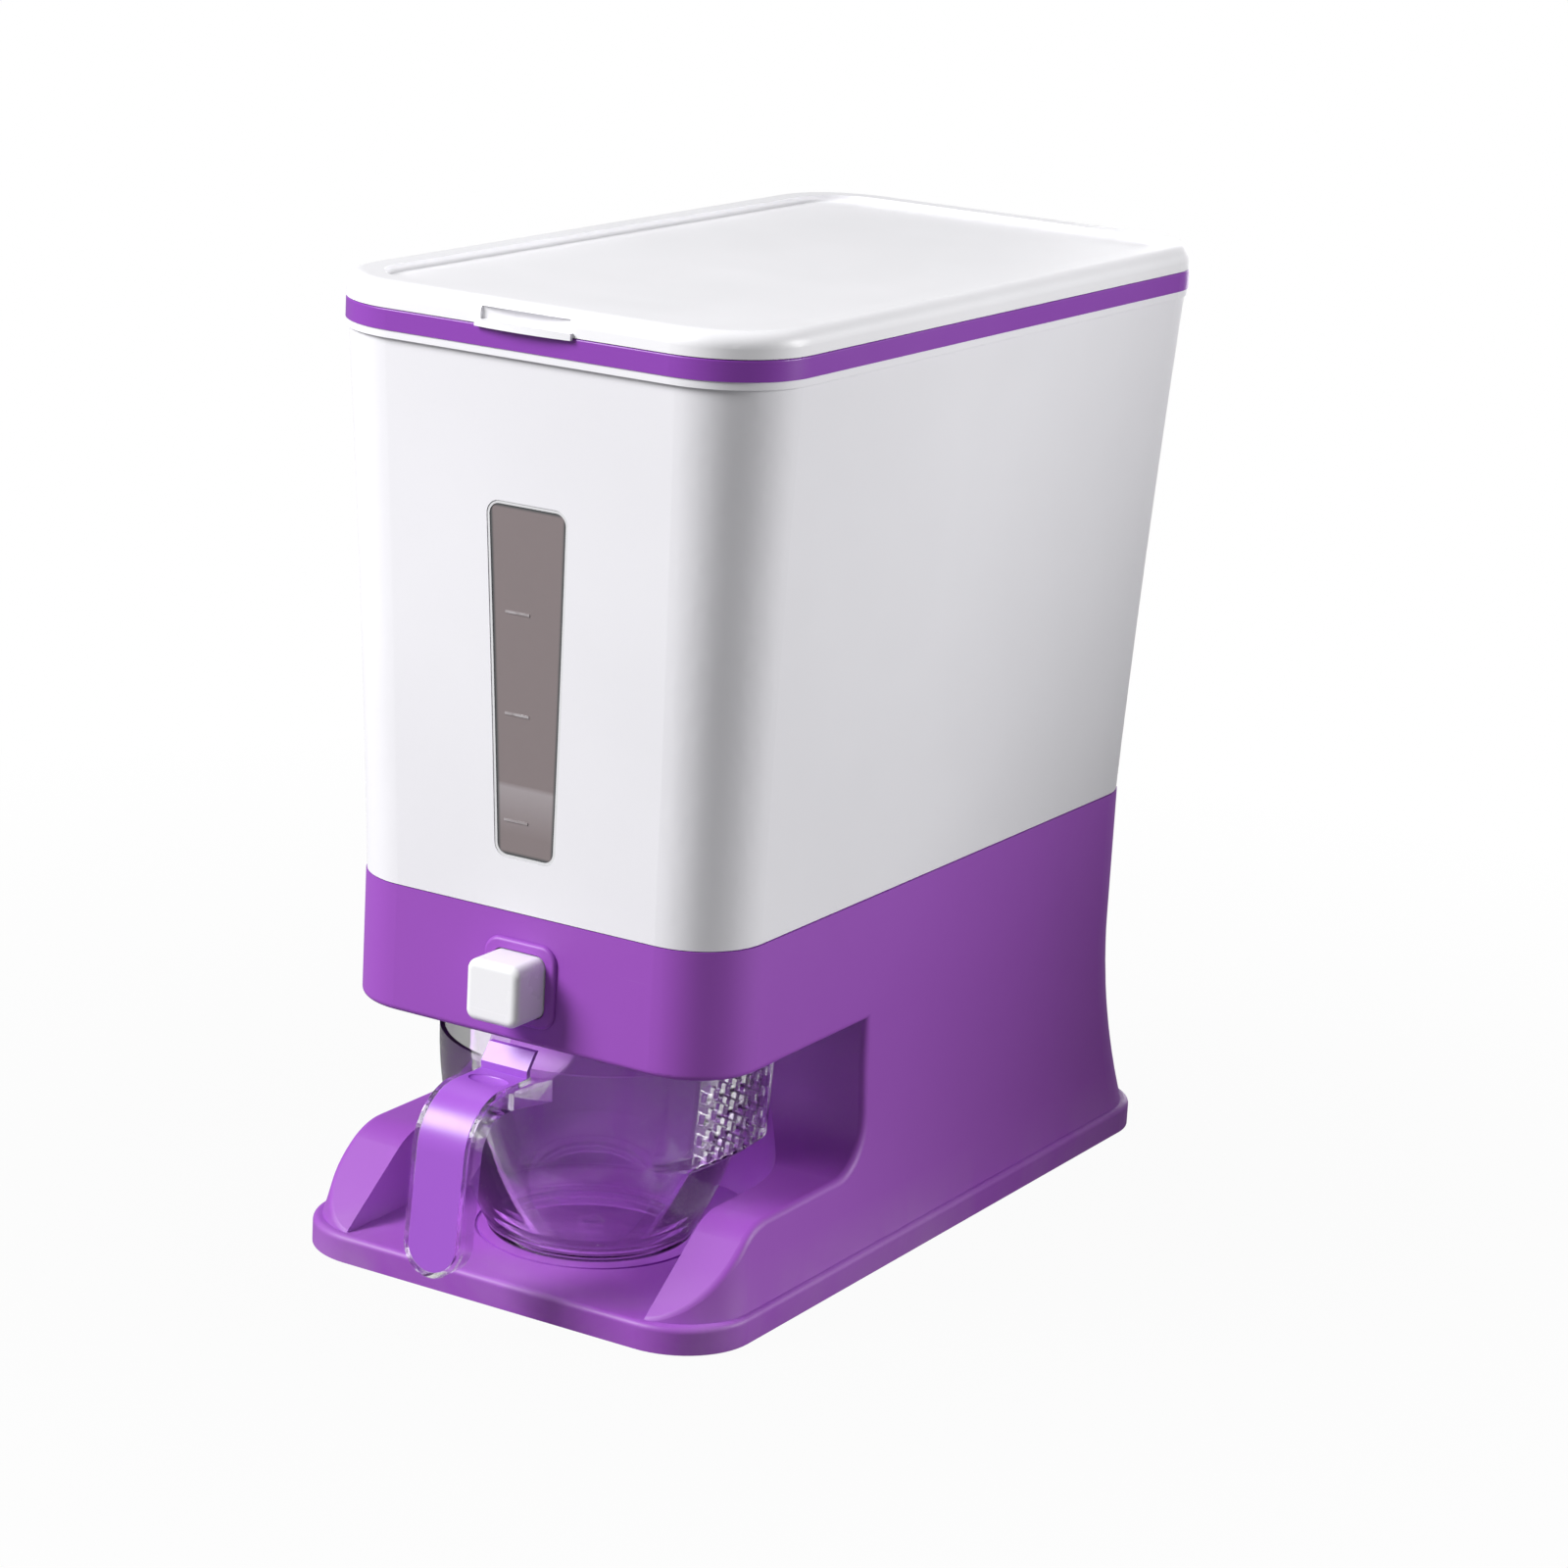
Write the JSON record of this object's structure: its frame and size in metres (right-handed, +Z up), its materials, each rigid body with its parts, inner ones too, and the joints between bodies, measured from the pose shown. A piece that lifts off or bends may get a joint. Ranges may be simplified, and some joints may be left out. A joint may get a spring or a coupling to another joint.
{
  "type": "rice dispenser",
  "caption": "Countertop rice dispenser with a tapered hopper, hinged lid, level window, push button gate and a clear straining jug in an open bay of the flared base.",
  "frame": {"origin": "centre of the whole footprint, jug handle and hinge included, on the table under the feet", "axes": "+X to the right seen from the front, +Y to the back, +Z up; the button, window and jug handle face -Y"},
  "size_m": [0.202, 0.4203, 0.3951],
  "materials": {
    "purple_shell": "fine satin moulded plastic",
    "purple_band": "soft gloss moulded plastic",
    "white_shell": "satin moulded plastic",
    "white_lid": "soft gloss moulded plastic",
    "white_button": "soft gloss moulded plastic",
    "grey_plastic": "plain moulded plastic",
    "smoky_pane": "smoky clear plastic, polished",
    "clear_jug": "clear styrene plastic, polished",
    "seal": "soft silicone",
    "rubber_pad": "soft matte rubber",
    "steel": "zinc plated steel"
  },
  "bodies": {
    "base": {"base_shell": "purple_shell", "base_plate": "grey_plastic", "rubber_feet": "rubber_pad", "base_screws": "steel", "hopper": "white_shell", "hopper_screws": "steel", "hopper_funnel": "white_shell", "window": "smoky_pane", "window_seal": "seal", "rim_collar": "purple_band", "hinge_pins": "steel", "button_bezel": "purple_shell", "gate_housing": "grey_plastic", "housing_screws": "steel", "outlet_chute": "grey_plastic", "chin_cover": "purple_shell", "cover_screws": "steel", "return_spring": "steel"},
    "lid": {"lid": "white_lid", "lid_seal": "seal"},
    "button": {"button": "white_button", "gate_link": "grey_plastic", "gate_slide": "grey_plastic"},
    "jug": {"jug": "clear_jug", "handle_insert": "purple_band"}
  },
  "joints": [
    {"name": "lid_hinge", "type": "hinge", "parent": "base", "child": "lid", "pos_m": [0, 0.20695, 0.384], "axis": [-1, 0, 0], "range_deg": [0, 100]},
    {"name": "button_press", "type": "slide", "parent": "base", "child": "button", "axis": [0, 1, 0], "range_m": [0, 0.014], "stiffness_N_per_m": 400, "springref_m": -0.004, "deforming": ["return_spring"]},
    {"name": "jug_slide", "type": "slide", "parent": "base", "child": "jug", "axis": [0, -1, 0], "range_m": [0, 0.15]}
  ]
}
